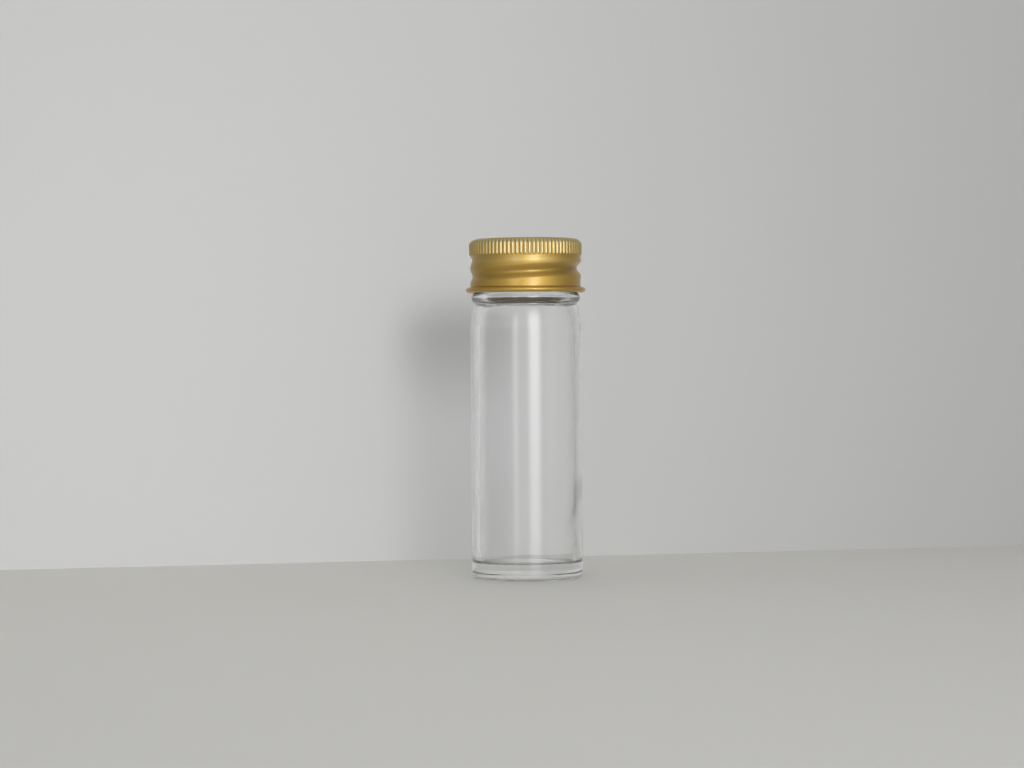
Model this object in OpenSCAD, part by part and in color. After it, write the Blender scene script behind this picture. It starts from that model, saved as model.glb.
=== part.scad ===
// Glass sample vial with a rolled metal screw cap and a sealing disc.
// Millimetres, +Z up. The origin is the centre of the surface that the vial stands on.

/* [Glass body] */
// Outer diameter of the straight body
body_d = 22; // [21:0.5:27]
// Height of the glass, from the resting surface to the lip
glass_h = 65.6; // [45:0.1:110]
// Thickness of the side wall
wall = 1.7; // [1:0.1:2.5]
// Thickness of the base where it meets the wall
base_t = 3.1; // [2:0.1:6]
// Rise of the hollow under the base
push_up = 0.9; // [0.2:0.1:1.2]
// Width of the flat ring that the vial stands on
foot_w = 0.6; // [0.4:0.1:2]
// Radius of the rounded heel
heel_r = 1.2; // [0.6:0.1:2.5]
// Radius inside, where the wall meets the inner floor
inner_heel_r = 0.7; // [0.5:0.1:3]
// Height of the rounded shoulder
shoulder_h = 5.2; // [4:0.1:8]

/* [Glass neck] */
// Diameter of the neck behind its thread
neck_d = 19.1; // [18.4:0.1:19.6]
// Diameter of the mouth
mouth_d = 14.8; // [12:0.1:15.6]
// Radius of the lip's outer edge
lip_r = 0.8; // [0.4:0.1:1]
// Radius of the lip's inner edge
lip_in_r = 0.5; // [0.2:0.1:0.6]
// Diameter of the ring under the cap
ring_d = 21.6; // [20.6:0.1:21.8]
// Height of the ring under the cap
ring_h = 2.15; // [1.6:0.05:3]
// How far the ring bulges out from the shoulder's top
ring_out = 0.7; // [0.3:0.05:0.8]
// Height over which the bore narrows from the ring to the mouth
throat_h = 2; // [1:0.1:4]

/* [Thread] */
// Diameter over the glass thread
thread_d = 20.9; // [20.4:0.1:21.3]
// Rise of the thread in one turn
pitch = 3.175; // [3:0.025:3.4]
// Turns of thread on the glass
glass_turns = 1.3; // [1:0.05:1.4]
// Width of the glass thread at its foot
glass_thread_w = 1.7; // [1.2:0.1:1.9]
// Part of a turn before the zero angle at which the glass thread starts
glass_lead = 0.16; // [0:0.01:0.2]
// Turns of the thread rolled in the cap
cap_turns = 1.8; // [1.3:0.05:1.9]
// Width of the thread rolled in the cap
cap_thread_w = 3; // [2.4:0.1:3.1]
// Height over the cap's rim at which the rolled thread passes the zero angle
cap_thread_z = 1.65; // [1.5:0.05:2]
// Part of a turn before the zero angle at which the rolled thread starts
cap_lead = 0.11; // [0:0.01:0.2]
// Distance over which the rolled thread fades at the knurls and at the crease
cap_thread_fade = 0.5; // [0.3:0.1:0.8]

/* [Cap] */
// Height of the cap
cap_h = 10.65; // [9.8:0.05:11.5]
// Thickness of the metal sheet
sheet_t = 0.25; // [0.2:0.01:0.3]
// Radius of the cap's rounded top edge
cap_corner_r = 1.3; // [0.8:0.1:1.9]
// Height of the curled rim
rim_h = 1; // [0.9:0.05:1.2]
// How far the curled rim stands out from the skirt
rim_out = 0.85; // [0.6:0.05:1.1]
// Depth of the crease over the rim
crease = 0.1; // [0.05:0.01:0.14]
// How far the smooth bead over the thread stands out from the skirt
bead_out = 0.12; // [0:0.01:0.2]
// Height of the smooth bead
bead_h = 1; // [0.8:0.1:1.6]

/* [Knurls] */
// Number of knurls round the cap
knurl_count = 82; // [60:1:90]
// How far the knurls stand out from the skirt
knurl_out = 0.2; // [0.1:0.05:0.4]
// Depth of a knurl
knurl_depth = 0.25; // [0.1:0.05:0.35]
// Height of the knurled band, up to the top of the cap
knurl_h = 3.3; // [2.6:0.05:3.4]
// Height over which the knurls run out at their lower end
knurl_run_out = 0.3; // [0.1:0.05:0.5]

/* [Sealing disc] */
// Thickness of the disc
liner_t = 1.2; // [0.8:0.1:1.6]

/* [Fits] */
// Gap from the glass thread to the inside of the cap's skirt
skirt_gap = 0.3; // [0.25:0.01:0.4]
// Gap from the cap's thread to the neck
thread_gap = 0.35; // [0.15:0.01:0.4]
// Gap from the sealing disc to the lip, to the cap's top and to its side
liner_gap = 0.1; // [0.05:0.01:0.15]

/* [Hidden] */
$fn = 96;

GLASS = [0.82, 0.87, 0.86, 0.45];
GOLD = [0.66, 0.55, 0.30];
FOAM = [0.93, 0.93, 0.91];

// Radii of the glass
body_r = body_d / 2;
bore_r = body_r - wall;
neck_r = neck_d / 2;
mouth_r = mouth_d / 2;
ring_r = ring_d / 2;
thread_r = thread_d / 2;

// Radii of the cap, worked out from what it fits over
skirt_in_r = thread_r + skirt_gap;
skirt_r = skirt_in_r + sheet_t;
groove_depth = skirt_in_r - neck_r - thread_gap;
knurl_root_r = skirt_r + knurl_out - knurl_depth;
corner_c = knurl_root_r - cap_corner_r;

// Heights, from the resting surface
liner_z = glass_h + liner_gap;
cap_top_z = liner_z + liner_t + liner_gap + sheet_t;
rim_z = cap_top_z - cap_h;
ring_z = rim_z - ring_h;
shoulder_z = ring_z - shoulder_h;

// Heights in the cap, from its rim
knurl_z = cap_h - knurl_h;
corner_z = cap_h - cap_corner_r;
bead_z = knurl_z - bead_h / 2;
crease_z = rim_h;

function arc(centre, r, from, to, steps) =
    [for (i = [0 : steps]) let (a = from + (to - from) * i / steps)
        centre + r * [cos(a), sin(a)]];

// A shallow dome in section, from its edge at radius r to the axis
function dome(r, rise, z, steps) =
    let (big_r = (r * r + rise * rise) / (2 * rise), open = asin(r / big_r))
    arc([0, z + rise - big_r], big_r, 90 - open, 90, steps);

function clamp01(x) = max(0, min(1, x));
function turned(list) = [for (i = [len(list) - 1 : -1 : 0]) list[i]];
function rest(list) = [for (i = [1 : len(list) - 1]) list[i]];

// ---- Glass -----------------------------------------------------------------------------------

under_ring_r = ring_r - ring_out;
shoulder_w = body_r - under_ring_r;
shoulder_r = (shoulder_w * shoulder_w + shoulder_h * shoulder_h) / (2 * shoulder_w);
shoulder_c = [body_r - shoulder_r, shoulder_z];
shoulder_lean = asin(shoulder_h / shoulder_r);
ring_half = ring_h / 2;
ring_bulge_r = (ring_half * ring_half + ring_out * ring_out) / (2 * ring_out);
ring_swing = asin(ring_half / ring_bulge_r);
foot_r = body_r - heel_r;
floor_rise = push_up / 2;

// Outside of the glass, from the axis under the base to the lip. The ring is one shallow bulge.
function glass_outside() = concat(
    turned(dome(foot_r - foot_w, push_up, 0, 12)),
    arc([foot_r, heel_r], heel_r, -90, 0, 10),
    arc(shoulder_c, shoulder_r, 0, shoulder_lean, 12),
    rest(arc([ring_r - ring_bulge_r, ring_z + ring_half], ring_bulge_r, -ring_swing, ring_swing, 12)),
    [[neck_r, rim_z]],
    arc([neck_r - lip_r, glass_h - lip_r], lip_r, 0, 90, 8)
);

// The wall keeps its thickness over the shoulder. From there the bore straightens over the ring's
// height, so that it is upright in the cap, and then narrows to the mouth.
throat = shoulder_c + (shoulder_r - wall) * [cos(shoulder_lean), sin(shoulder_lean)];
throat_slope = tan(shoulder_lean);
throat_r = throat[0] - throat_slope * ring_h / 2;
throat_top = throat[1] + ring_h;

// Inside of the glass, from the lip to the axis on the inner floor
function glass_inside() = concat(
    arc([mouth_r + lip_in_r, glass_h - lip_in_r], lip_in_r, 90, 180, 6),
    [for (i = [0 : 6]) let (t = i / 6)
        [mouth_r + (throat_r - mouth_r) * (1 - cos(180 * t)) / 2, throat_top + throat_h * (1 - t)]],
    [for (i = [5 : -1 : 0]) let (up = i / 6)
        throat + ring_h * [-throat_slope * (up - up * up / 2), up]],
    rest(arc(shoulder_c, shoulder_r - wall, shoulder_lean, 0, 12)),
    arc([bore_r - inner_heel_r, base_t + inner_heel_r], inner_heel_r, 0, -90, 8),
    dome(bore_r - inner_heel_r, floor_rise, base_t, 6)
);

// Section of the glass thread: [share of its height, share of half its width at the foot]. Its first
// and last points lie inside the neck.
THREAD_SECTION = [[-1, -1.25], [0.7, -0.55], [1, -0.2], [1, 0.2], [0.7, 0.55], [-1, 1.25]];
thread_root = 0.3;
GLASS_STEP = 7.5;
RUN_OUT_ANGLE = 40;

// The glass thread runs halfway between the turns of the cap's thread, and sinks into the neck at
// each end
module glass_thread() {
    steps = round(glass_turns * 360 / GLASS_STEP);
    n = len(THREAD_SECTION);
    height = thread_r - neck_r;
    points = [for (s = [0 : steps]) let (
            turn = glass_turns * s / steps - glass_lead,
            a = 360 * turn,
            z = rim_z + cap_thread_z + pitch * (turn + 0.5),
            out = clamp01(min(s, steps - s) * GLASS_STEP / RUN_OUT_ANGLE),
            sunk = thread_root * (1 - out) / 4)
        for (p = THREAD_SECTION)
            let (r = p[0] < 0 ? neck_r - thread_root : neck_r - sunk + height * out * p[0])
            [r * cos(a), r * sin(a), z + p[1] * glass_thread_w / 2]];
    sides = [for (s = [0 : steps - 1], i = [0 : n - 1]) let (
            a = s * n + i, b = s * n + (i + 1) % n, c = a + n, d = b + n)
        each [[a, b, c], [b, d, c]]];
    ends = [[for (i = [n - 1 : -1 : 0]) i], [for (i = [0 : n - 1]) steps * n + i]];
    polyhedron(points, concat(sides, ends), convexity = 6);
}

module vial() {
    color(GLASS)
    union() {
        rotate_extrude() polygon(concat(glass_outside(), glass_inside()));
        glass_thread();
    }
}

// ---- Cap -------------------------------------------------------------------------------------

// Depth, as a share of the full depth, of the rolled thread at an angle and a height over the rim.
// It deepens over its first turn, runs out over its last, and stops at the knurls and the crease.
RUN_IN = 1.1;
RUN_OUT = 0.33;
function wave(u) = abs(u) < 1 ? (1 + cos(180 * u)) / 2 : 0;
function rolled(a, h) =
    clamp01((knurl_z - h) / cap_thread_fade) * clamp01((h - crease_z) / cap_thread_fade) * max([
        for (k = [-1 : 2]) let (
            turn = a / 360 + k,
            along = turn + cap_lead,
            ends = clamp01(along / RUN_IN) * clamp01((cap_turns - along) / RUN_OUT))
        ends * wave((h - cap_thread_z - pitch * turn) / (cap_thread_w / 2))]);

// Rounded ribs with a sharp valley between them
function knurl(a) = abs(sin(knurl_count * a / 2));

// Each ring of the cap's skin is [points round it, radius, height over the rim, share of a knurl's
// depth, share of the rolled thread's depth]
ROUND = 72;
FINE = 4 * knurl_count;
INNER = 48;
THREAD_ROWS = 18;

function bead(h) = bead_out * wave((h - bead_z) / (bead_h / 2));
function row(i) = crease_z + (knurl_z - crease_z) * i / THREAD_ROWS;

curl_r = rim_h / 2;
curl_c = skirt_r + rim_out - curl_r;

function skin() = concat(
    // top and rounded edge, where the knurls rise out of the smooth top
    [for (a = [90, 62]) [ROUND, corner_c + cap_corner_r * cos(a), corner_z + cap_corner_r * sin(a), 0, 0]],
    [for (s = [[50, 0], [30, 0.7], [0, 1]])
        [FINE, corner_c + cap_corner_r * cos(s[0]), corner_z + cap_corner_r * sin(s[0]), s[1], 0]],
    [[FINE, knurl_root_r, knurl_z + knurl_run_out, 1, 0],
     [FINE, knurl_root_r + knurl_depth / 2, knurl_z, 0, 0]],
    // skirt with its bead and thread, down to the crease
    [for (i = [THREAD_ROWS - 1 : -1 : 1]) [ROUND, skirt_r + bead(row(i)), row(i), 0, 1]],
    [[ROUND, skirt_r - crease, crease_z, 0, 0]],
    // hollow of the curled rim, its raw edge and its outside
    [for (a = [180, 270, 360, 450, 495])
        [INNER, curl_c + (curl_r - sheet_t) * cos(a), curl_r + (curl_r - sheet_t) * sin(a), 0, 0]],
    [for (a = [495 : -45 : 180])
        [ROUND, curl_c + curl_r * cos(a), curl_r + curl_r * sin(a), 0, 0]],
    // inside of the skirt, with the thread standing inwards
    [[INNER, skirt_in_r - crease, crease_z, 0, 0]],
    [for (i = [1 : THREAD_ROWS - 1]) [INNER, skirt_in_r + bead(row(i)), row(i), 0, 1]],
    [[INNER, knurl_root_r - sheet_t, knurl_z + knurl_run_out, 0, 0]],
    [for (a = [0, 30, 60, 90]) let (r = cap_corner_r - sheet_t)
        [INNER, corner_c + r * cos(a), corner_z + r * sin(a), 0, 0]]
);

function skin_point(ring, i) =
    let (a = 360 * i / ring[0],
         r = ring[1] + knurl(a) * knurl_depth * ring[3] - rolled(a, ring[2]) * groove_depth * ring[4])
    [r * cos(a), r * sin(a), rim_z + ring[2]];

// Triangles between two rings of na and nb points that start at the point numbers a and b
function band(a, na, b, nb) = concat(
    [for (i = [0 : na - 1]) [a + i, a + (i + 1) % na, b + floor((i + 0.5) * nb / na) % nb]],
    [for (j = [0 : nb - 1]) [b + j, a + ceil((j + 1) * na / nb - 0.5) % na, b + (j + 1) % nb]]
);

module cap() {
    rings = concat([[1, 0, cap_h, 0, 0]], skin(), [[1, 0, cap_h - sheet_t, 0, 0]]);
    last = len(rings) - 1;
    starts = [for (j = 0, s = 0; j <= last; s = s + rings[j][0], j = j + 1) s];
    points = [for (ring = rings) for (i = [0 : ring[0] - 1]) skin_point(ring, i)];
    triangles = [for (j = [0 : last - 1])
        for (t = band(starts[j], rings[j][0], starts[j + 1], rings[j + 1][0]))
            if (t[0] != t[1] && t[1] != t[2] && t[2] != t[0]) t];
    color(GOLD) polyhedron(points, triangles, convexity = 8);
}

// ---- Sealing disc ----------------------------------------------------------------------------

// The disc fills the top of the cap, so its upper edge is rounded like the cap's corner
module liner() {
    r = cap_corner_r - sheet_t - liner_gap;
    z = rim_z + corner_z;
    low = asin(clamp01((liner_z - z) / r));
    color(FOAM)
    rotate_extrude() polygon(concat(
        [[0, liner_z], [corner_c + r * cos(low), liner_z]],
        arc([corner_c, z], r, low, 90, 10),
        [[0, liner_z + liner_t]]));
}

vial();
cap();
liner();
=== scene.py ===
"""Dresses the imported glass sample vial: threaded glass, rolled gold cap, foam disc and a plain studio.

Sizes of the pieces and the paper are in millimetres, distances and sizes of the lamps and the camera in
metres, and angles in degrees.
"""

from __future__ import annotations

import logging
import math
from dataclasses import dataclass, field
from enum import Enum

import bpy
import numpy as np
from mathutils import Matrix, Vector

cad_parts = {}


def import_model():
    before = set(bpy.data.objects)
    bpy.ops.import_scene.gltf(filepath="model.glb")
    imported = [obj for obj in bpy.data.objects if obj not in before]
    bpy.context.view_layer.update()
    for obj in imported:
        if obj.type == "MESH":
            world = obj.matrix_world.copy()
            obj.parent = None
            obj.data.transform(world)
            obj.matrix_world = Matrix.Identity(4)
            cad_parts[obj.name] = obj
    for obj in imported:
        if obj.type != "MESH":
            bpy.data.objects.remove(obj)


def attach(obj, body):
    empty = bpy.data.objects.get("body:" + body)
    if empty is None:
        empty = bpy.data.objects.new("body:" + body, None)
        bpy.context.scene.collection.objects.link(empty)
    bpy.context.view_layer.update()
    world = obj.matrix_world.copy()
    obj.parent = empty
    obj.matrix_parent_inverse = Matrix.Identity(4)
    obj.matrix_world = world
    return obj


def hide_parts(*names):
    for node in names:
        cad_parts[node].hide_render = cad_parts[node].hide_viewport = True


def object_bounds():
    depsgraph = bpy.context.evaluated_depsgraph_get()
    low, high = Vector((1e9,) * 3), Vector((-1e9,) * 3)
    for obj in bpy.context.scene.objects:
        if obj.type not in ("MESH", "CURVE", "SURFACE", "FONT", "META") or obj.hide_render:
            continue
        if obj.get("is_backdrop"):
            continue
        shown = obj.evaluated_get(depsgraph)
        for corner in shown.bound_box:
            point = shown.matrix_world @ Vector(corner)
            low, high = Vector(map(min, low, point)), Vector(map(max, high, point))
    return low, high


MM = 0.001
TURN = 360.0
log = logging.getLogger("vial")

Colour = tuple[float, float, float, float]
Stops = tuple[tuple[float, float], ...]


class Body(Enum):
    """The bodies that pieces ride on."""

    VIAL = "vial"
    LINER = "liner"
    CAP = "cap"


class Slot(Enum):
    """The record's material slots."""

    GLASS = "clear_glass"
    GOLD = "gold_cap"
    FOAM = "white_liner"


class Mark(Enum):
    """Shares from 0 to 1 kept on a mesh's points for its finish.

    WORN is where a surface is worn or scuffed; on the cap its pale is also a painted sheen and
    highlight. RECESS is where the colour is darker: painted shade on the cap, painted contact shade
    low on the glass, and two slanted grey marks on the glass.
    """

    WORN = "worn"
    RECESS = "recess"


# ---- Numbers and curves ------------------------------------------------------------------------


def clamp(values: np.ndarray) -> np.ndarray:
    """Limits values to the range from 0 to 1."""
    return np.clip(values, 0.0, 1.0)


def smooth(values: np.ndarray) -> np.ndarray:
    """Eases values from 0 to 1 along t squared times (3 minus 2 t)."""
    t = clamp(values)
    return t * t * (3 - 2 * t)


def wave(values: np.ndarray) -> np.ndarray:
    """One raised cosine: (1 + cos(pi u)) / 2 for u from -1 to 1, and nothing outside."""
    return np.where(np.abs(values) < 1, (1 + np.cos(np.pi * np.clip(values, -1, 1))) / 2, 0.0)


def bell(values: np.ndarray) -> np.ndarray:
    """A bell curve, e to the power of minus u squared."""
    return np.exp(-values * values)


def arc(centre: tuple[float, float], radius: float, start: float, end: float, steps: int) -> np.ndarray:
    """Points on part of a circle.

    A point is the centre plus the radius times (cos t, sin t), with t from start to end in even steps.

    Args:
        centre: radius and height of the circle's centre.
        radius: radius of the circle.
        start: first angle in degrees.
        end: last angle in degrees.
        steps: number of steps between them.

    Returns:
        A table of steps + 1 points, each a radius and a height.
    """
    t = np.radians(np.linspace(start, end, steps + 1))
    return np.stack([centre[0] + radius * np.cos(t), centre[1] + radius * np.sin(t)], axis=1)


def line(start: tuple[float, float], end: tuple[float, float], steps: int) -> np.ndarray:
    """Evenly spaced points from start to end, without start, so that it continues a curve.

    Args:
        start: radius and height of the point before the first one.
        end: radius and height of the last point.
        steps: number of points.

    Returns:
        A table of steps points.
    """
    t = np.linspace(0, 1, steps + 1)[1:, None]
    return np.array(start) * (1 - t) + np.array(end) * t


def dome(radius: float, rise: float, height: float, steps: int) -> np.ndarray:
    """A shallow dome in section, on the circle through its edge and its crown.

    Args:
        radius: radius of the dome's edge.
        rise: height of its crown over its edge.
        height: height of its edge.
        steps: number of points, which stop one short of the axis.

    Returns:
        A table of points from the edge towards the axis.
    """
    big = (radius * radius + rise * rise) / (2 * rise)
    opening = math.degrees(math.asin(radius / big))
    return arc((0, height + rise - big), big, 90 - opening, 90, steps)[:-1]


# ---- Meshes ------------------------------------------------------------------------------------


def turned_skin(
    name: str,
    radius: np.ndarray,
    height: np.ndarray,
    poles: tuple[float, float],
    marks: dict[Mark, np.ndarray] | None = None,
) -> bpy.types.Object:
    """Makes a skin round the Z axis.

    A point is (R cos a, R sin a, Z), where R and Z are tables over ring and angle, in millimetres. A
    quad joins each pair of neighbours on two rings, and a fan of triangles closes each end.

    Args:
        name: name of the piece.
        radius: radius over ring and angle.
        height: height over ring and angle.
        poles: heights of the two end points on the axis.
        marks: shares over ring and angle, kept on the points.

    Returns:
        The piece, at the origin.
    """
    rings, around = radius.shape
    angle = np.arange(around) * 2 * np.pi / around
    grid = np.stack([radius * np.cos(angle), radius * np.sin(angle), height + 0 * radius], axis=-1)
    ends = [[0.0, 0.0, pole] for pole in poles]
    points = np.concatenate([grid.reshape(-1, 3), ends]) * MM

    index = np.arange(rings * around).reshape(rings, around)
    ahead = np.roll(index, -1, axis=1)
    quads = np.stack([index[:-1], ahead[:-1], ahead[1:], index[1:]], axis=-1).reshape(-1, 4)
    first, last = np.full(around, rings * around), np.full(around, len(points) - 1)
    fans = [np.stack([first, ahead[0], index[0]], axis=1), np.stack([last, index[-1], ahead[-1]], axis=1)]

    mesh = bpy.data.meshes.new(name)
    corners = np.concatenate([quads.ravel(), *(fan.ravel() for fan in fans)])
    sizes = np.repeat([4, 3], [len(quads), 2 * around])
    mesh.vertices.add(len(points))
    mesh.vertices.foreach_set("co", points.astype(np.float32).ravel())
    mesh.loops.add(len(corners))
    mesh.loops.foreach_set("vertex_index", corners.astype(np.int32))
    mesh.polygons.add(len(sizes))
    mesh.polygons.foreach_set("loop_start", (np.cumsum(sizes) - sizes).astype(np.int32))
    mesh.polygons.foreach_set("use_smooth", np.ones(len(sizes), bool))
    for mark, shares in (marks or {}).items():
        layer = mesh.attributes.new(mark.value, "FLOAT", "POINT")
        pole_shares = [shares[0].mean(), shares[-1].mean()]
        layer.data.foreach_set("value", np.append(shares.ravel(), pole_shares).astype(np.float32))
    mesh.update(calc_edges=True)
    mesh.validate()

    piece = bpy.data.objects.new(name, mesh)
    bpy.context.scene.collection.objects.link(piece)
    return piece


# ---- Nodes -------------------------------------------------------------------------------------


def linear(code: str) -> Colour:
    """Turns an sRGB hex value to a linear colour.

    Args:
        code: the value, such as #DCC384.

    Returns:
        The colour, with full cover.
    """
    channels = np.array([int(code[i : i + 2], 16) / 255 for i in (1, 3, 5)])
    bright = ((channels + 0.055) / 1.055) ** 2.4
    return (*np.where(channels <= 0.04045, channels / 12.92, bright).tolist(), 1.0)


def add(
    tree: bpy.types.NodeTree,
    kind: str,
    inputs: dict | None = None,
    **settings: object,
) -> bpy.types.Node:
    """Adds a node with its settings and its inputs.

    Args:
        tree: node tree that the node goes into.
        kind: the node's type, without the ShaderNode that each starts with.
        inputs: by name or number of the input, a value, or what is linked to it: an output, or a node
            for its first output.
        settings: the node's own properties.

    Returns:
        The new node.
    """
    node = tree.nodes.new("ShaderNode" + kind)
    for key, value in settings.items():
        setattr(node, key, value)
    for key, value in (inputs or {}).items():
        if isinstance(value, bpy.types.Node):
            value = value.outputs[0]
        if isinstance(value, bpy.types.NodeSocket):
            tree.links.new(value, node.inputs[key])
        else:
            node.inputs[key].default_value = value
    return node


def new_material(name: str) -> tuple[bpy.types.Material, bpy.types.NodeTree]:
    """Makes an empty node material.

    Args:
        name: name of the material.

    Returns:
        The material and its node tree.
    """
    material = bpy.data.materials.new(name)
    material.use_nodes = True
    material.node_tree.nodes.clear()
    return material, material.node_tree


def ramp(
    tree: bpy.types.NodeTree,
    factor: bpy.types.NodeSocket,
    stops: Stops,
) -> bpy.types.NodeSocket:
    """Maps a factor through a ramp of greys.

    Args:
        tree: node tree that the ramp goes into.
        factor: output that is mapped.
        stops: place and level of each grey, in rising order.

    Returns:
        The ramp's colour output.
    """
    node = add(tree, "ValToRGB", {"Fac": factor})
    elements = node.color_ramp.elements
    while len(elements) < len(stops):
        elements.new(0.5)
    for element, (place, level) in zip(elements, stops):
        element.position = place
        element.color = (level, level, level, 1.0)
    return node.outputs["Color"]


# ---- Finishes ----------------------------------------------------------------------------------


@dataclass(frozen=True)
class SodaLimeGlass:
    """Drawn soda-lime glass with a fire-polished mouth.

    It is clear and smooth, with a faint sea-green tinge where the eye looks along the wall, slow
    ripples from the drawing, a trace of haze from handling, two slanted darker grey marks, painted
    contact shade low on the heel, and a scuffed foot.
    """

    ior: float = 1.52
    body_colour: str = "#FEFEFE"
    # Darker grey for the two slanted marks and for the painted contact shade on the heel
    dark_mark: str = "#ACADAD"
    tint: Colour = (0.86, 0.875, 0.872, 1.0)
    density: float = 4.5
    ripple_mm: float = 2.4
    ripple_stretch: float = 6.0
    ripple_depth_mm: float = 0.0035
    handling_mm: float = 6.0
    handled: tuple[float, float] = (0.55, 0.8)
    haze: float = 0.015
    scuff: float = 0.16
    shadow: Colour = (0.88, 0.89, 0.89, 1.0)
    contact: Colour = (0.10, 0.10, 0.09, 1.0)

    def material(self) -> bpy.types.Material:
        """Builds the material.

        Returns:
            The finished material.
        """
        material, tree = new_material("Soda-lime glass")
        place = add(tree, "TexCoord").outputs["Object"]
        # Drawing ripples run up the wall, so the pattern is stretched along Z
        squeeze = (1.0, 1.0, 1 / self.ripple_stretch)
        stretched = add(tree, "Mapping", {"Vector": place, "Scale": squeeze})
        ripples = add(
            tree,
            "TexNoise",
            {"Vector": stretched, "Scale": 1 / (self.ripple_mm * MM), "Detail": 0.0},
        )
        bump = add(tree, "Bump", {"Height": ripples, "Distance": self.ripple_depth_mm * MM})
        handled = add(
            tree,
            "TexNoise",
            {"Vector": place, "Scale": 1 / (self.handling_mm * MM), "Detail": 3.0},
        )
        clean, greasy = self.handled
        haze = add(
            tree,
            "MapRange",
            {"Value": handled, "From Min": clean, "From Max": greasy, "To Max": self.haze},
        )
        worn = add(tree, "Attribute", attribute_name=Mark.WORN.value)
        rough = add(tree, "Math", {0: worn.outputs["Fac"], 1: self.scuff, 2: haze}, operation="MULTIPLY_ADD")
        # Darker grey where the recess share is high: two slanted marks, and painted contact shade low on the
        # heel
        dark_marks = add(tree, "Attribute", attribute_name=Mark.RECESS.value)
        colour = add(
            tree,
            "Mix",
            {"Factor": dark_marks.outputs["Fac"], "A": linear(self.body_colour), "B": linear(self.dark_mark)},
            data_type="RGBA",
        )
        glass = add(
            tree,
            "BsdfPrincipled",
            {
                "Base Color": colour.outputs["Result"],
                "Roughness": rough,
                "IOR": self.ior,
                "Transmission Weight": 1.0,
                "Normal": bump,
            },
        )
        # Light reaches the floor through the walls, as a soft tinted shadow, but not under the foot ring
        path = add(tree, "LightPath")
        cast = add(
            tree,
            "Mix",
            {"Factor": worn.outputs["Fac"], "A": self.shadow, "B": self.contact},
            data_type="RGBA",
        )
        through = add(tree, "BsdfTransparent", {"Color": cast.outputs["Result"]})
        mixed = add(tree, "MixShader", {"Fac": path.outputs["Is Shadow Ray"], 1: glass, 2: through})
        volume = add(tree, "VolumeAbsorption", {"Color": self.tint, "Density": self.density})
        add(tree, "OutputMaterial", {"Surface": mixed, "Volume": volume})
        return material


@dataclass(frozen=True)
class AnodisedAluminium:
    """Thin aluminium sheet, drawn, knurled and thread-rolled, then anodised gold.

    It has a satin shine with fine lines from the rolls round it, paler and more polished where
    fingers and the roll touch it. The pale also paints the sheen of the knurl crests and a highlight
    on the bead, and painted shade makes it deeper and darker in its creases, valleys and inside.
    """

    gold: str = "#C9A549"
    pale: str = "#E2D8A6"
    deep_shade: str = "#8A6A28"
    rough: tuple[float, float] = (0.51, 0.60)
    polish: float = 0.07
    coat: float = 0.65
    coat_rough: float = 0.24
    coat_ior: float = 1.65
    line_mm: float = 0.22
    line_depth_mm: float = 0.004
    blotch_mm: float = 2.5
    blotchy: tuple[float, float] = (0.3, 0.7)
    least_rub: float = 0.4
    deepening: float = 0.75

    def material(self) -> bpy.types.Material:
        """Builds the material.

        Returns:
            The finished material.
        """
        material, tree = new_material("Gold anodised aluminium")
        place = add(tree, "TexCoord").outputs["Object"]
        apart = add(tree, "SeparateXYZ", {"Vector": place})
        flat = add(tree, "CombineXYZ", {"X": apart.outputs["X"], "Y": apart.outputs["Y"]})
        distance = add(tree, "VectorMath", {0: flat}, operation="LENGTH")
        # Rolled lines follow distance from the axis and height, so they run round the cap
        section = add(tree, "CombineXYZ", {"X": distance.outputs["Value"], "Z": apart.outputs["Z"]})
        lines = add(tree, "TexNoise", {"Vector": section, "Scale": 1 / (self.line_mm * MM)})
        bump = add(tree, "Bump", {"Height": lines, "Distance": self.line_depth_mm * MM})
        blotches = add(
            tree,
            "TexNoise",
            {"Vector": place, "Scale": 1 / (self.blotch_mm * MM), "Detail": 4.0, "Roughness": 0.6},
        )
        worn = add(tree, "Attribute", attribute_name=Mark.WORN.value).outputs["Fac"]
        recess = add(tree, "Attribute", attribute_name=Mark.RECESS.value).outputs["Fac"]
        # Blotches break up the worn pale, which is also painted sheen, and the roughness
        uneven_rub = add(tree, "Math", {0: blotches, 1: self.least_rub}, operation="ADD")
        rubbed_and_sheen = add(tree, "Math", {0: worn, 1: uneven_rub}, operation="MULTIPLY")
        crest = add(
            tree,
            "Mix",
            {"Factor": rubbed_and_sheen, "A": linear(self.gold), "B": linear(self.pale)},
            data_type="RGBA",
        )
        # Painted shade: the recess share darkens the colour towards the deep shade
        shaded = add(tree, "Math", {0: recess, 1: self.deepening}, operation="MULTIPLY")
        colour = add(
            tree,
            "Mix",
            {"Factor": shaded, "A": crest.outputs["Result"], "B": linear(self.deep_shade)},
            data_type="RGBA",
        )
        (low, high), (least, most) = self.blotchy, self.rough
        uneven = add(
            tree,
            "MapRange",
            {"Value": blotches, "From Min": low, "From Max": high, "To Min": least, "To Max": most},
        )
        polished = add(tree, "Math", {0: worn, 1: -self.polish, 2: uneven}, operation="MULTIPLY_ADD")
        metal = add(
            tree,
            "BsdfPrincipled",
            {
                "Base Color": colour.outputs["Result"],
                "Metallic": 1.0,
                "Roughness": polished,
                "Coat Weight": self.coat,
                "Coat Roughness": self.coat_rough,
                "Coat IOR": self.coat_ior,
                "Normal": bump,
            },
        )
        add(tree, "OutputMaterial", {"Surface": metal})
        return material


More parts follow.
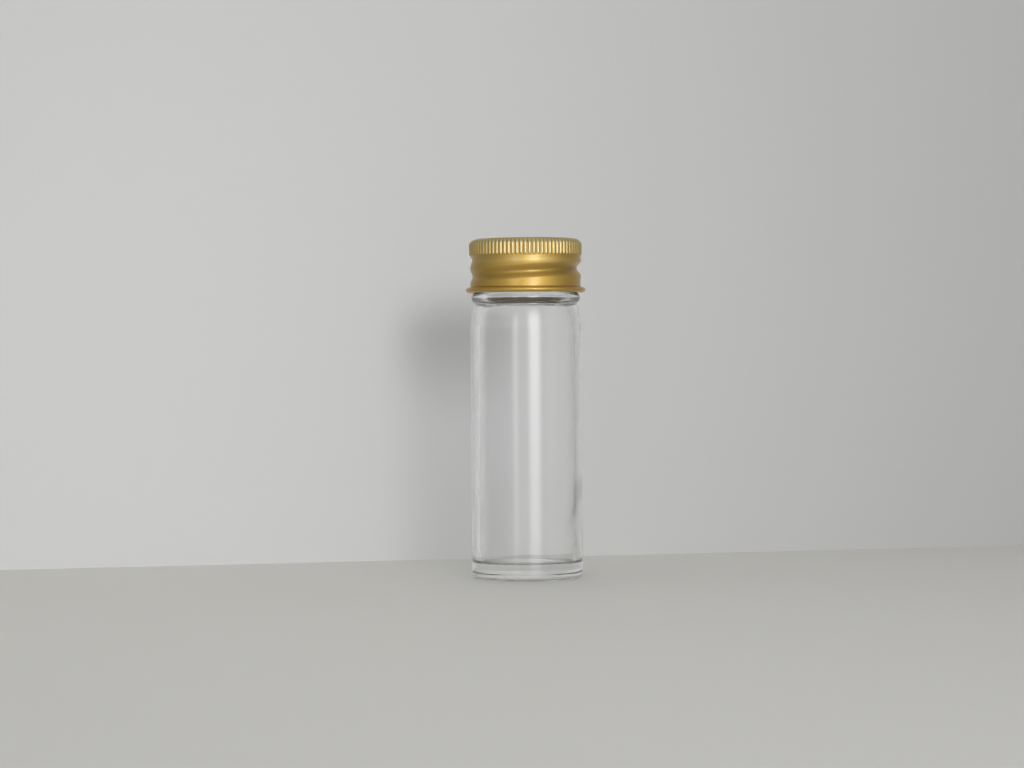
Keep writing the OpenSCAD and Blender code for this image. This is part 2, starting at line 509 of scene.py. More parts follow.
@dataclass(frozen=True)
class FoamSheet:
    """Expanded polyethylene foam, skived and punched to a disc.

    It is matte white with a soft bloom, and shows its small closed cells on the cut faces.
    """

    white: str = "#F1F0EA"
    cell_wall: str = "#DCDAD0"
    cell_mm: float = 0.38
    cell_depth_mm: float = 0.05

    def material(self) -> bpy.types.Material:
        """Builds the material.

        Returns:
            The finished material.
        """
        material, tree = new_material("White polyethylene foam")
        place = add(tree, "TexCoord").outputs["Object"]
        cells = add(
            tree,
            "TexVoronoi",
            {"Vector": place, "Scale": 1 / (self.cell_mm * MM), "Randomness": 0.9},
            feature="SMOOTH_F1",
        ).outputs["Distance"]
        bump = add(tree, "Bump", {"Height": cells, "Distance": self.cell_depth_mm * MM, "Strength": 0.8})
        colour = add(
            tree,
            "Mix",
            {"Factor": cells, "A": linear(self.white), "B": linear(self.cell_wall)},
            data_type="RGBA",
        )
        foam = add(
            tree,
            "BsdfPrincipled",
            {
                "Base Color": colour.outputs["Result"],
                "Roughness": 0.72,
                "IOR": 1.5,
                "Specular IOR Level": 0.35,
                "Normal": bump,
            },
        )
        add(tree, "OutputMaterial", {"Surface": foam})
        return material


@dataclass(frozen=True)
class PaperSweep:
    """Pale matte paper that lies under the object and stands up close behind it.

    It is even and matte. Between near and far, in metres, it passes into the plain backdrop. From
    behind it is not there, so that the object can be seen from the back.
    """

    paper: str = "#D4D4D4"
    lying: str = "#D5D4CF"
    backdrop: str = "#C6C7C9"
    grain_mm: float = 0.7
    grain_depth_mm: float = 0.01
    fold_mm: float = 0.01
    near: float = 0.20
    far: float = 0.60

    def material(self) -> bpy.types.Material:
        """Builds the material.

        Returns:
            The finished material.
        """
        material, tree = new_material("Matte grey-white paper")
        place = add(tree, "TexCoord").outputs["Object"]
        grain = add(tree, "TexNoise", {"Vector": place, "Scale": 1 / (self.grain_mm * MM), "Detail": 3.0})
        bump = add(tree, "Bump", {"Height": grain, "Distance": self.grain_depth_mm * MM, "Strength": 0.5})
        # The part that stands up starts just over the floor
        rise = add(tree, "SeparateXYZ", {"Vector": place})
        stands = add(tree, "Math", {0: rise.outputs["Z"], 1: self.fold_mm * MM}, operation="GREATER_THAN")
        colour = add(
            tree,
            "Mix",
            {"Factor": stands, "A": linear(self.lying), "B": linear(self.paper)},
            data_type="RGBA",
        )
        paper = add(
            tree,
            "BsdfPrincipled",
            {
                "Base Color": colour.outputs["Result"],
                "Roughness": 0.7,
                "Specular IOR Level": 0.2,
                "Normal": bump,
            },
        )
        distance = add(tree, "VectorMath", {0: place}, operation="LENGTH")
        fade = add(
            tree,
            "MapRange",
            {"Value": distance.outputs["Value"], "From Min": self.near, "From Max": self.far},
            interpolation_type="SMOOTHSTEP",
        )
        glow = add(tree, "Emission", {"Color": linear(self.backdrop)})
        mixed = add(tree, "MixShader", {"Fac": fade, 1: paper, 2: glow})
        # The paper shows only its front
        side = add(tree, "NewGeometry")
        clear = add(tree, "BsdfTransparent")
        front_only = add(tree, "MixShader", {"Fac": side.outputs["Backfacing"], 1: mixed, 2: clear})
        add(tree, "OutputMaterial", {"Surface": front_only})
        return material


# ---- The vial ----------------------------------------------------------------------------------


@dataclass
class Screw:
    """Where the thread runs, shared by the glass and the cap.

    Heights are over the cap's rim. The thread is right-handed and starts at the zero angle.
    """

    pitch: float = 3.175
    start: float = 1.65

    def height(self, turn: np.ndarray) -> np.ndarray:
        """Height of the thread's middle after a number of turns."""
        return self.start + self.pitch * turn


@dataclass(frozen=True)
class DarkMark:
    """A short slanted darker grey mark on the glass.

    Bearing, lean and width are angles round the axis, and lean is for each millimetre up.
    """

    bearing: float
    level: float
    lean: float
    width: float
    length: float


@dataclass
class GlassVial:
    """The glass: a thick-based round body, a soft shoulder, a bead ring and a threaded neck."""

    screw: Screw
    finish: SodaLimeGlass = field(default_factory=SodaLimeGlass)
    body_r: float = 11.0
    top: float = 65.6
    wall: float = 1.7
    base: float = 3.1
    push_up: float = 0.9
    foot_w: float = 0.6
    heel_r: float = 1.2
    inner_heel_r: float = 0.7
    shoulder_h: float = 5.2
    neck_r: float = 9.55
    mouth_r: float = 7.4
    lip_r: float = 0.8
    lip_in_r: float = 0.5
    ring_r: float = 10.8
    ring_h: float = 2.15
    ring_out: float = 0.7
    throat_h: float = 2.0
    rim_z: float = 56.6
    thread_r: float = 10.45
    thread_w: float = 1.7
    thread_turns: float = 1.3
    thread_lead: float = 0.16
    thread_foot: float = 1.08
    thread_flank: float = 0.8
    sink_angle: float = 40.0
    # Lobes of the bore: how many, depth, phase, and drift of the phase for each millimetre up
    lobes: tuple[tuple[int, float, float, float], ...] = (
        (2, 0.022, 0.9, 0.012),
        (3, 0.018, -1.4, 0.02),
        (5, 0.012, 2.1, -0.03),
        (9, 0.006, 0.4, 0.05),
    )
    calm_h: float = 1.0
    lobes_in: float = 5.0
    lobes_out: float = 6.0
    ripple_depth: float = 0.045
    ripple_rate: float = 2.2
    ripple_crest: float = 0.25
    ripple_middle: float = 0.55
    ripple_reach: float = 2.6
    dark_marks: tuple[DarkMark, ...] = (DarkMark(-31.5, 14.2, 2.4, 5.0, 2.9), DarkMark(-15.0, 17.4, 3.2, 9.0, 1.9))
    scuff_w: float = 0.9
    scuff_h: float = 0.25
    contact_shade_h: float = 0.22
    around: int = 256

    @property
    def bore_r(self) -> float:
        """Inner radius of the body."""
        return self.body_r - self.wall

    @property
    def ring_z(self) -> float:
        """Height of the bead ring's underside."""
        return self.rim_z - self.ring_h

    @property
    def under_ring_r(self) -> float:
        """Outer radius at the shoulder's top, where the ring starts."""
        return self.ring_r - self.ring_out

    @property
    def shoulder_z(self) -> float:
        """Height at which the shoulder starts."""
        return self.ring_z - self.shoulder_h

    @property
    def shoulder_r(self) -> float:
        """Radius of the circle that the shoulder follows."""
        width = self.body_r - self.under_ring_r
        return (width * width + self.shoulder_h * self.shoulder_h) / (2 * width)

    @property
    def shoulder_c(self) -> tuple[float, float]:
        """Radius and height of that circle's centre."""
        return (self.body_r - self.shoulder_r, self.shoulder_z)

    @property
    def shoulder_lean(self) -> float:
        """Angle in degrees that the shoulder leans in by at its top."""
        return math.degrees(math.asin(self.shoulder_h / self.shoulder_r))

    def outside(self) -> np.ndarray:
        """Section of the outside, from the axis under the base up to the lip.

        The base is a shallow hollow inside a flat foot ring and a round heel. The wall is straight, the
        shoulder is part of a large circle that leaves the wall smoothly, the ring is a shallow bulge, part
        of a circle through its two edges and its crest, and the lip has a rounded edge.

        Returns:
            A table of radius and height.
        """
        foot_r = self.body_r - self.heel_r
        half = self.ring_h / 2
        ring_big = (half * half + self.ring_out * self.ring_out) / (2 * self.ring_out)
        swing = math.degrees(math.asin(half / ring_big))
        return np.concatenate([
            dome(foot_r - self.foot_w, self.push_up, 0, 15)[::-1],
            line((foot_r - self.foot_w, 0), (foot_r, 0), 3),
            arc((foot_r, self.heel_r), self.heel_r, -90, 0, 14)[1:],
            line((self.body_r, self.heel_r), (self.body_r, self.shoulder_z), 28),
            arc(self.shoulder_c, self.shoulder_r, 0, self.shoulder_lean, 20)[1:],
            arc((self.ring_r - ring_big, self.ring_z + half), ring_big, -swing, swing, 24)[1:],
            line((self.under_ring_r, self.rim_z), (self.neck_r, self.rim_z), 2),
            line((self.neck_r, self.rim_z), (self.neck_r, self.top - self.lip_r), 72),
            arc((self.neck_r - self.lip_r, self.top - self.lip_r), self.lip_r, 0, 90, 10)[1:],
        ])

    def inside(self) -> np.ndarray:
        """Section of the inside, from the lip down to the axis on the inner floor.

        From the mouth the bore widens along half a cosine wave, leans out evenly over the ring's height,
        and goes on parallel to the outer shoulder, so that the wall keeps its thickness there. It meets
        the floor in a round corner, and the floor is a shallow dome.

        Returns:
            A table of radius and height.
        """
        shoulder = arc(self.shoulder_c, self.shoulder_r - self.wall, self.shoulder_lean, 0, 24)
        low_r, low_z = shoulder[0]
        slope = math.tan(math.radians(self.shoulder_lean))
        up, down = np.linspace(1, 0, 14)[:-1], np.linspace(0, 1, 14)[:-1]
        easing = low_r - slope * self.ring_h * (up - up * up / 2)
        throat_r = low_r - slope * self.ring_h / 2
        widening = self.mouth_r + (throat_r - self.mouth_r) * (1 - np.cos(np.pi * down)) / 2
        neck_z = low_z + self.ring_h + self.throat_h
        corner_r = self.bore_r - self.inner_heel_r
        return np.concatenate([
            arc((self.mouth_r + self.lip_in_r, self.top - self.lip_in_r), self.lip_in_r, 90, 180, 8),
            line((self.mouth_r, self.top - self.lip_in_r), (self.mouth_r, neck_z), 6)[:-1],
            np.stack([widening, neck_z - self.throat_h * down], axis=1),
            np.stack([easing, low_z + self.ring_h * up], axis=1),
            shoulder,
            line((self.bore_r, self.shoulder_z), (self.bore_r, self.base + self.inner_heel_r), 60),
            arc((corner_r, self.base + self.inner_heel_r), self.inner_heel_r, 0, -90, 18)[1:],
            dome(corner_r, self.push_up / 2, self.base, 12)[1:],
        ])

    def thread(self, angle: np.ndarray, height: np.ndarray) -> np.ndarray:
        """How far the thread stands out of the neck.

        It is a ridge with a flat crest and eased flanks, halfway between the turns of the cap's thread,
        and it sinks into the neck at both ends.

        Args:
            angle: angles round the axis in degrees.
            height: heights from the resting surface.

        Returns:
            Distances from the neck, over height and angle.
        """
        stand = np.zeros(np.broadcast_shapes(angle.shape, height.shape))
        for lap in range(-1, 3):
            turn = angle / TURN + lap
            middle = self.rim_z + self.screw.height(turn + 0.5)
            along = np.minimum(turn + self.thread_lead, self.thread_turns - self.thread_lead - turn)
            end = smooth(along * TURN / self.sink_angle)
            off = np.abs(height - middle) / (self.thread_w / 2)
            stand = np.maximum(stand, end * smooth((self.thread_foot - off) / self.thread_flank))
        return stand * (self.thread_r - self.neck_r)

    def waviness(self, angle: np.ndarray, height: np.ndarray) -> np.ndarray:
        """Unevenness of the inner wall.

        Slow lobes from the drawing, each a cosine round the bore, run up the wall and drift round it.
        They fade out at the floor and at the rim. The shoulder has a ripple from its forming: a cosine
        up the wall within a bell curve, stronger on one side.

        Args:
            angle: angles round the axis in degrees.
            height: heights from the resting surface.

        Returns:
            Distances to add to the bore's radius, over height and angle.
        """
        a = np.radians(angle)
        lobes = sum(
            depth * np.cos(count * a + phase + drift * height)
            for count, depth, phase, drift in self.lobes
        )
        fade_in = smooth((height - self.base - self.calm_h) / self.lobes_in)
        fade_out = smooth((self.rim_z - height) / self.lobes_out)
        up = height - self.shoulder_z
        ripple = self.ripple_depth * np.cos(self.ripple_rate * (up - self.ripple_crest))
        ripple = ripple * bell((up - self.ripple_middle) / self.ripple_reach)
        return fade_in * fade_out * lobes + ripple * (0.6 + 0.4 * np.cos(a + 1.5))

    def mark_shares(self, angle: np.ndarray, height: np.ndarray) -> np.ndarray:
        """Shares of the short slanted darker grey marks on the outer wall.

        Each is a bell curve across its leaning line, times a bell curve along it.

        Args:
            angle: angles round the axis in degrees.
            height: heights from the resting surface.

        Returns:
            Shares over height and angle.
        """
        share = np.zeros(np.broadcast_shapes(angle.shape, height.shape))
        for dark_mark in self.dark_marks:
            apart = angle - dark_mark.bearing
            apart = apart - TURN * np.round(apart / TURN)
            along = height - dark_mark.level
            across = apart - dark_mark.lean * along
            share = np.maximum(share, bell(across / dark_mark.width) * bell(along / dark_mark.length))
        return share

    def build(self) -> bpy.types.Object:
        """Builds, dresses and places the glass.

        Returns:
            The glass.
        """
        outer, inner = self.outside(), self.inside()
        angle = np.arange(self.around) * TURN / self.around
        section = np.concatenate([outer, inner])
        height = section[:, 1:]
        radius = section[:, :1] + np.zeros(self.around)
        count = len(outer)
        on_neck = (height[:count] > self.rim_z) & (height[:count] < self.top - self.lip_r)
        radius[:count] += np.where(on_neck, self.thread(angle, height[:count]), 0)
        on_bore = height[count:] < self.rim_z
        above_corner = height[count:] > self.base + self.inner_heel_r - 0.01
        radius[count:] += np.where(on_bore & above_corner, self.waviness(angle, height[count:]), 0)
        # The foot ring is scuffed where it has stood
        foot_in_r = self.body_r - self.heel_r - self.foot_w
        scuff = wave((section[:, 0] - (foot_in_r + self.foot_w / 2)) / self.scuff_w)
        scuff = np.where(np.arange(len(section)) < count, scuff * (section[:, 1] < self.scuff_h), 0)
        # Painted contact shade: the glass is darker just over the floor, outside the foot ring's inner edge
        contact_shade = np.where(section[:, 0] > foot_in_r, bell(section[:, 1] / self.contact_shade_h), 0)
        dull = contact_shade[:, None] + np.zeros(self.around)
        dull[:count] = np.maximum(dull[:count], self.mark_shares(angle, height[:count]))
        piece = turned_skin(
            "threaded_glass_vial",
            radius,
            height,
            (self.push_up, self.base + self.push_up / 2),
            {Mark.WORN: scuff[:, None] + np.zeros(self.around), Mark.RECESS: dull},
        )
        piece.data.materials.append(self.finish.material())
        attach(piece, Body.VIAL.value)
        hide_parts("vial")
        return piece


@dataclass
class RolledCap:
    """The cap: one thin sheet with a knurled edge, a bead, a rolled thread and a curled rim."""

    screw: Screw
    finish: AnodisedAluminium = field(default_factory=AnodisedAluminium)
    rim_z: float = 56.6
    tall: float = 10.65
    sheet: float = 0.25
    corner_r: float = 1.3
    skirt_in_r: float = 10.75
    groove_depth: float = 0.85
    groove_w: float = 3.0
    groove_turns: float = 1.8
    groove_lead: float = 0.11
    deepen_turns: float = 1.1
    run_out_turns: float = 0.33
    fade: float = 0.5
    rim_h: float = 1.0
    rim_out: float = 0.85
    crease: float = 0.1
    curl_to: float = 495.0
    bead_out: float = 0.12
    bead_h: float = 2.2
    knurls: int = 82
    knurl_out: float = 0.2
    knurl_depth: float = 0.25
    knurl_h: float = 3.3
    knurl_run_out: float = 0.3
    knurl_from: float = 66.0
    knurl_over: float = 44.0
    inner_knurl: float = 0.3
    edge_drop: float = 0.6
    edge_rub_h: float = 0.7
    edge_rub: float = 0.5
    bead_sheen: float = 0.2
    valley_shade: float = 0.8
    groove_shade: float = 0.75
    inside_shade: float = 0.6
    crease_shade_h: float = 0.45
    points_per_knurl: int = 6

    @property
    def skirt_r(self) -> float:
        """Outer radius of the skirt."""
        return self.skirt_in_r + self.sheet

    @property
    def root_r(self) -> float:
        """Radius at the bottom of the knurls."""
        return self.skirt_r + self.knurl_out - self.knurl_depth

    @property
    def corner_c(self) -> float:
        """Radius at which the flat top ends and its rounded edge starts."""
        return self.root_r - self.corner_r

    @property
    def knurl_z(self) -> float:
        """Height over the rim at which the knurls end."""
        return self.tall - self.knurl_h

    @property
    def corner_z(self) -> float:
        """Height over the rim of the rounded edge's centre."""
        return self.tall - self.corner_r

    def groove(self, angle: np.ndarray, height: np.ndarray) -> np.ndarray:
        """Depth of the rolled thread as a share of its full depth.

        It is a raised cosine about a helix, which deepens over its first turn, runs out over its last
        third of a turn, and fades at the knurls and at the crease.

        Args:
            angle: angles round the axis in degrees.
            height: heights over the rim.

        Returns:
            Shares over height and angle.
        """
        share = np.zeros(np.broadcast_shapes(angle.shape, height.shape))
        for lap in range(-1, 3):
            turn = angle / TURN + lap
            along = turn + self.groove_lead
            ends = clamp(along / self.deepen_turns) * clamp((self.groove_turns - along) / self.run_out_turns)
            share = np.maximum(share, ends * wave((height - self.screw.height(turn)) / (self.groove_w / 2)))
        return share * clamp((self.knurl_z - height) / self.fade) * clamp((height - self.rim_h) / self.fade)

    def bead(self, height: np.ndarray) -> np.ndarray:
        """Share of the bead's rise: a raised cosine just under the knurls."""
        return wave((height - self.knurl_z + self.bead_h / 2) / (self.bead_h / 2))

    def skin(self) -> np.ndarray:
        """Section of the sheet, from the top over the outside, round the curl and up the inside.

        Returns:
            A table of radius, height over the rim, share of a knurl's depth, share of the rolled
            thread's depth, and share of the dark inside.
        """

        def rows(
            points: np.ndarray,
            knurl: float | np.ndarray = 0.0,
            groove: float = 0.0,
            inside: float = 0.0,
        ) -> np.ndarray:
            """Adds the three shares to a table of points."""
            extra = [np.broadcast_to(np.asarray(s, float), len(points)) for s in (knurl, groove, inside)]
            return np.column_stack([points, *extra])

        def skirt(radius: float, steps: int) -> np.ndarray:
            """The skirt from the knurls down to the crease, with its bead."""
            height = np.linspace(self.knurl_z, self.rim_h, steps + 1)[1:-1]
            return np.stack([radius + self.bead_out * self.bead(height), height], axis=1)

        corner = arc((self.corner_c, self.corner_z), self.corner_r, 90, 0, 16)
        inner_corner = arc((self.corner_c, self.corner_z), self.corner_r - self.sheet, 0, 90, 10)
        # The knurls rise out of the rounded edge, and run out over the bead
        rise = smooth((self.knurl_from - np.linspace(90, 0, 17)) / self.knurl_over)
        band_low = self.knurl_z + self.knurl_run_out
        run = np.linspace(0, 1, 5)[1:]
        run_r = self.root_r + self.knurl_depth / 2 * smooth(run)
        run_z = band_low - self.knurl_run_out * run
        curl_r = self.rim_h / 2
        curl_c = (self.skirt_r + self.rim_out - curl_r, curl_r)
        inner_r = self.root_r - self.sheet
        return np.concatenate([
            rows(line((0, self.tall), (self.corner_c - 0.2, self.tall), 9)),
            rows(corner, rise),
            rows(line((self.root_r, self.corner_z), (self.root_r, band_low), 8), 1.0),
            rows(np.stack([run_r, run_z], axis=1), 1 - smooth(run)),
            rows(skirt(self.skirt_r, 56), 0, 1),
            rows(np.array([[self.skirt_r - self.crease, self.rim_h]])),
            rows(arc(curl_c, curl_r - self.sheet, 180, self.curl_to, 14), inside=1),
            rows(arc(curl_c, curl_r, self.curl_to, 180, 22)),
            rows(np.array([[self.skirt_in_r - self.crease, self.rim_h]]), inside=1),
            rows(skirt(self.skirt_in_r, 40)[::-1], 0, 1, 1),
            rows(line((inner_r, self.knurl_z), (inner_r, self.corner_z - 0.1), 6), self.inner_knurl, 0, 1),
            rows(inner_corner, self.inner_knurl * smooth(np.linspace(1, 0, 11)), 0, 1),
            rows(line((self.corner_c, self.tall - self.sheet), (1.0, self.tall - self.sheet), 5), inside=1),
        ])

    def build(self) -> bpy.types.Object:
        """Builds, dresses and places the cap.

        Returns:
            The cap.
        """
        table = self.skin()
        around = self.points_per_knurl * self.knurls
        angle = np.arange(around) * TURN / around
        base_r, height, knurl, groove, inside = (table[:, i : i + 1] for i in range(5))
        # A knurl is the absolute value of a sine: a rounded rib between two sharp valleys
        rib = np.abs(np.sin(np.radians(self.knurls * angle / 2)))
        rolled = self.groove(angle, height) * groove
        radius = base_r + rib * self.knurl_depth * knurl - rolled * self.groove_depth
        # Knurl crests and the top edge are worn paler; on the crests the pale is also painted sheen, on the
        # bead a painted highlight
        outside = 1 - inside
        top_edge = wave((height - self.tall + self.edge_drop) / self.edge_rub_h) * outside
        worn = clamp(rib**4 * knurl + self.edge_rub * top_edge + self.bead_sheen * self.bead(height) * outside)
        # Painted shade: the valleys, the groove, the crease and the inside are darker
        valley = (1 - rib) ** 3 * knurl
        creased = wave((height - self.rim_h) / self.crease_shade_h) * (base_r < self.skirt_r) * outside
        recess = self.valley_shade * valley + self.groove_shade * rolled**2 + creased
        recess = clamp(recess + self.inside_shade * inside)
        piece = turned_skin(
            "rolled_gold_cap",
            radius,
            self.rim_z + height,
            (self.rim_z + self.tall, self.rim_z + self.tall - self.sheet),
            {Mark.WORN: worn, Mark.RECESS: recess},
        )
        piece.data.materials.append(self.finish.material())
        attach(piece, Body.CAP.value)
        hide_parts("cap")
        return piece


@dataclass
class SealingDisc:
    """The foam disc that fills the top of the cap, with the print of the glass mouth under it."""

    finish: FoamSheet = field(default_factory=FoamSheet)
    low: float = 65.7
    thick: float = 1.2
    corner_c: float = 9.65
    corner_z: float = 65.95
    corner_r: float = 0.95
    print_in: float = 7.6
    print_out: float = 9.3
    print_depth: float = 0.12
    print_blur: float = 0.25
    around: int = 192

    def section(self) -> np.ndarray:
        """Section of the disc, from the axis under it, out and over its rounded edge, to the axis on top.

        The print is a raised cosine between the mouth's two edges, pressed up into the underside.

        Returns:
            A table of radius and height.
        """
        edge_r = self.corner_c + self.corner_r
        under = line((0, self.low), (edge_r - 0.05, self.low), 48)
        middle = (self.print_in + self.print_out) / 2
        half = (self.print_out - self.print_in) / 2 + self.print_blur
        under[:, 1] += self.print_depth * wave((under[:, 0] - middle) / half)
        return np.concatenate([
            under,
            line((edge_r, self.low), (edge_r, self.corner_z), 6),
            arc((self.corner_c, self.corner_z), self.corner_r, 0, 90, 14)[1:],
            line((self.corner_c, self.low + self.thick), (0.6, self.low + self.thick), 8),
        ])

    def build(self) -> bpy.types.Object:
        """Builds, dresses and places the disc.

        Returns:
            The disc.
        """
        section = self.section()
        flat = np.zeros(self.around)
        piece = turned_skin(
            "foam_sealing_disc",
            section[:, :1] + flat,
            section[:, 1:] + flat,
            (self.low, self.low + self.thick),
        )
        piece.data.materials.append(self.finish.material())
        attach(piece, Body.LINER.value)
        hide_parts("liner")
        return piece


# ---- The studio --------------------------------------------------------------------------------


@dataclass(frozen=True)
class Softbox:
    """A soft lamp aimed at the vial.

    It is placed by its bearing from the front to the right, its elevation and its distance. Aside is
    how far to the right of the vial it is aimed. It fades towards its sides and ends, where 1 fades
    from the very middle.
    """

    name: str
    bearing: float
    elevation: float
    distance: float
    width: float
    height: float
    glow: float
    mirrored: bool = True
    matte: bool = True
    soft_sides: float = 0.8
    soft_ends: float = 0.5
    spread: float = 180.0
    aside_mm: float = 0.0

    def build(self, centre: Vector) -> bpy.types.Object:
        """Builds the lamp.

        Args:
            centre: middle of the vial.

        Returns:
            The lamp.
        """
        lamp = bpy.data.lights.new(self.name, "AREA")
        lamp.shape = "RECTANGLE"
        lamp.size, lamp.size_y = self.width, self.height
        lamp.spread = math.radians(self.spread)
        # An area lamp's brightness is its power over pi times its area
        lamp.energy = self.glow * math.pi * self.width * self.height
        # A lamp that nothing mirrors is reached by shadow rays alone, which pass the glass
        lamp.cycles.use_multiple_importance_sampling = self.mirrored
        lamp.use_nodes = True
        tree = lamp.node_tree
        tree.nodes.clear()
        place = add(tree, "NewGeometry").outputs["Parametric"]
        across = add(tree, "SeparateXYZ", {"Vector": place})
        fades = []
        for axis, soft in (("X", self.soft_sides), ("Y", self.soft_ends)):
            # 0 at either edge and a half at the middle
            inward = add(tree, "Math", {0: across.outputs[axis], 1: 0.5}, operation="PINGPONG")
            fade = add(
                tree,
                "MapRange",
                {"Value": inward, "From Max": soft / 2},
                interpolation_type="SMOOTHSTEP",
            )
            fades.append(fade.outputs["Result"])
        falloff = add(tree, "Math", {0: fades[0], 1: fades[1]}, operation="MULTIPLY")
        emission = add(tree, "Emission", {"Strength": falloff})
        add(tree, "OutputLight", {"Surface": emission})
        box = bpy.data.objects.new(self.name, lamp)
        a, e = math.radians(self.bearing), math.radians(self.elevation)
        away = Vector((math.sin(a) * math.cos(e), -math.cos(a) * math.cos(e), math.sin(e)))
        box.location = centre + away * self.distance
        aim = centre + Vector((self.aside_mm * MM, 0.0, 0.0)) - box.location
        box.rotation_euler = aim.to_track_quat("-Z", "Y").to_euler()
        box.visible_camera = box.visible_transmission = False
        box.visible_glossy = self.mirrored
        box.visible_diffuse = self.matte
        bpy.context.scene.collection.objects.link(box)
        return box


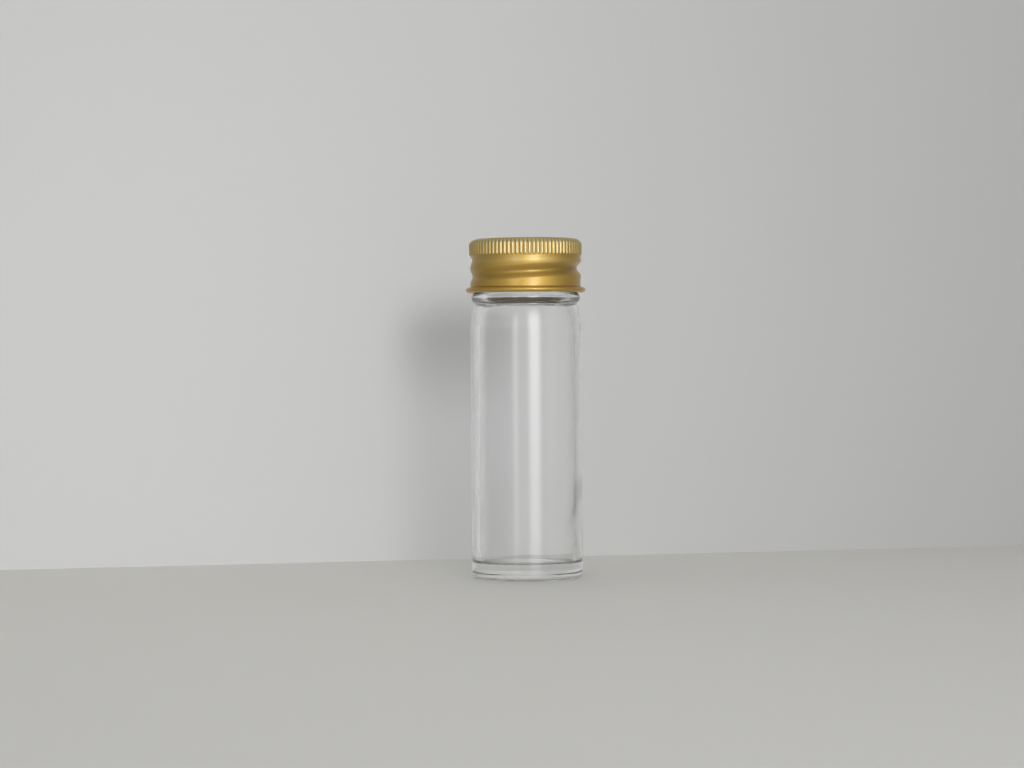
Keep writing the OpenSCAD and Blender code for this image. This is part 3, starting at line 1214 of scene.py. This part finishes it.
@dataclass
class Studio:
    """The paper sweep, the plain room round it, the soft lamps and the camera.

    The room's two tables give how bright a mirror sees it: by direction, from 0 behind the camera to
    1 behind the vial, and times that by height, from 0 for level to 1 for straight up.
    """

    paper: PaperSweep = field(default_factory=PaperSweep)
    wall_y: float = 53.0
    wall_turn: float = 13.0
    reach: float = 6000.0
    fill: float = 0.55
    room_round: Stops = (
        (0.0, 0.48), (0.12, 0.5), (0.35, 0.40), (0.5, 0.32), (0.65, 0.27), (0.8, 0.38), (1.0, 0.57)
    )
    room_up: Stops = ((0.0, 1.0), (0.35, 1.0), (0.75, 0.58), (0.92, 1.0), (1.0, 1.6))
    lens: float = 97.6
    stand: tuple[float, float, float] = (0.0, -0.5518, 0.04509)
    yaw: float = 0.295
    pitch: float = -0.687
    roll: float = -0.42
    softboxes: tuple[Softbox, ...] = (
        Softbox("key_softbox", 17.0, 11.0, 0.70, 0.46, 0.70, 6.2, matte=False, soft_ends=0.8),
        Softbox(
            "side_softbox", -22.0, 8.0, 0.70, 0.26, 0.60, 3.4, matte=False, soft_sides=1.0, soft_ends=1.0
        ),
        Softbox("right_softbox", 54.0, 9.5, 0.70, 0.40, 0.60, 0.35, matte=False),
        Softbox(
            "sun_softbox", 15.5, 17.0, 0.90, 0.34, 0.34, 0.62, mirrored=False, spread=28.0, aside_mm=-75.0
        ),
        Softbox("overhead_softbox", 10.0, 60.0, 0.80, 0.60, 0.60, 1.25, mirrored=False),
    )

    def sweep(self) -> bpy.types.Object:
        """Builds the paper: a strip folded once, into a floor and a wall close behind the vial.

        It is a grid of even steps to the right and three rows: the front edge, the fold, whose distance
        behind the vial grows evenly to the right, and the top edge straight over the fold.

        Returns:
            The paper.
        """
        x = np.linspace(-self.reach, self.reach, 25)
        fold = self.wall_y + x * math.tan(math.radians(self.wall_turn))
        front = np.full_like(x, -self.reach)
        y = np.stack([front, fold, fold])
        z = np.array([[0.0], [0.0], [self.reach]])
        grid = np.stack(np.broadcast_arrays(x, y, z), axis=-1)
        index = np.arange(grid.shape[0] * grid.shape[1]).reshape(grid.shape[:2])
        quads = np.stack([index[:-1, :-1], index[:-1, 1:], index[1:, 1:], index[1:, :-1]], axis=-1)
        mesh = bpy.data.meshes.new("paper_sweep")
        mesh.from_pydata((grid.reshape(-1, 3) * MM).tolist(), [], quads.reshape(-1, 4).tolist())
        paper = bpy.data.objects.new("paper_sweep", mesh)
        bpy.context.scene.collection.objects.link(paper)
        mesh.materials.append(self.paper.material())
        paper.visible_glossy = False
        paper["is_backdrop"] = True
        return paper

    def world(self) -> None:
        """Builds the world.

        The eye, and glass that it looks through, see the plain backdrop. Polished surfaces mirror a room
        that is paler behind the vial and behind the camera, darker at the sides and high up, and bright
        straight overhead. Matte surfaces get a plain fill.
        """
        world = bpy.data.worlds.new("Plain studio")
        bpy.context.scene.world = world
        world.use_nodes = True
        tree = world.node_tree
        tree.nodes.clear()
        direction = add(tree, "TexCoord").outputs["Generated"]
        apart = add(tree, "SeparateXYZ", {"Vector": direction})
        flat = add(tree, "CombineXYZ", {"X": apart.outputs["X"], "Y": apart.outputs["Y"]})
        unit = add(tree, "VectorMath", {0: flat}, operation="NORMALIZE")
        along = add(tree, "SeparateXYZ", {"Vector": unit})
        # 0 is straight behind the camera and 1 is straight behind the vial
        depth = add(tree, "Math", {0: along.outputs["Y"], 1: 0.5, 2: 0.5}, operation="MULTIPLY_ADD")
        level = ramp(tree, depth.outputs["Value"], self.room_round)
        rise = ramp(tree, apart.outputs["Z"], self.room_up)
        both = {"Factor": 1.0, "A": level, "B": rise}
        room = add(tree, "Mix", both, data_type="RGBA", blend_type="MULTIPLY")
        path = add(tree, "LightPath")
        seen = add(
            tree,
            "Math",
            {0: path.outputs["Is Camera Ray"], 1: path.outputs["Is Transmission Ray"]},
            operation="MAXIMUM",
        )
        grey = (self.fill, self.fill, self.fill, 1.0)
        dull = add(
            tree,
            "Mix",
            {"Factor": path.outputs["Is Glossy Ray"], "A": grey, "B": room.outputs["Result"]},
            data_type="RGBA",
        )
        shown = add(
            tree,
            "Mix",
            {"Factor": seen, "A": dull.outputs["Result"], "B": linear(self.paper.backdrop)},
            data_type="RGBA",
        )
        background = add(tree, "Background", {"Color": shown.outputs["Result"]})
        add(tree, "OutputWorld", {"Surface": background})

    def camera(self) -> bpy.types.Object:
        """Builds the camera, level with the vial's upper body and a touch tilted.

        Returns:
            The camera.
        """
        data = bpy.data.cameras.new("camera")
        data.lens, data.sensor_width = self.lens, 36.0
        data.clip_start, data.clip_end = 0.01, 50.0
        camera = bpy.data.objects.new("camera", data)
        # A camera looks straight down until it is pitched up by a right angle
        turns = ((self.yaw, "Z"), (90.0 + self.pitch, "X"), (self.roll, "Z"))
        yaw, pitch, roll = (Matrix.Rotation(math.radians(angle), 4, axis) for angle, axis in turns)
        camera.matrix_world = Matrix.Translation(self.stand) @ yaw @ pitch @ roll
        bpy.context.scene.collection.objects.link(camera)
        bpy.context.scene.camera = camera
        return camera

    def build(self, low: Vector, high: Vector) -> None:
        """Builds the whole studio round the object's box.

        Args:
            low: lowest corner of the object.
            high: highest corner of the object.
        """
        self.sweep()
        self.world()
        self.camera()
        centre = (low + high) / 2
        for softbox in self.softboxes:
            softbox.build(centre)
        scene = bpy.context.scene
        scene.view_settings.view_transform = "Standard"
        # Each lamp gets its share of the shadow rays, which alone pass the glass
        scene.cycles.use_light_tree = False
        # Light turns back many times in the thick base before it leaves, and would end black there
        scene.cycles.max_bounces, scene.cycles.transmission_bounces, scene.cycles.glossy_bounces = 24, 24, 16


def main() -> None:
    """Loads the frame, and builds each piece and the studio."""
    logging.basicConfig(level=logging.INFO, format="%(name)s: %(message)s")
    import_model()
    cad_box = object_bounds()
    screw = Screw()
    for part in (GlassVial(screw), RolledCap(screw), SealingDisc()):
        piece = part.build()
        log.info("%s: %d faces", piece.name, len(piece.data.polygons))
    Studio().build(*cad_box)
    log.info("sizes written")


if __name__ == "__main__":
    main()
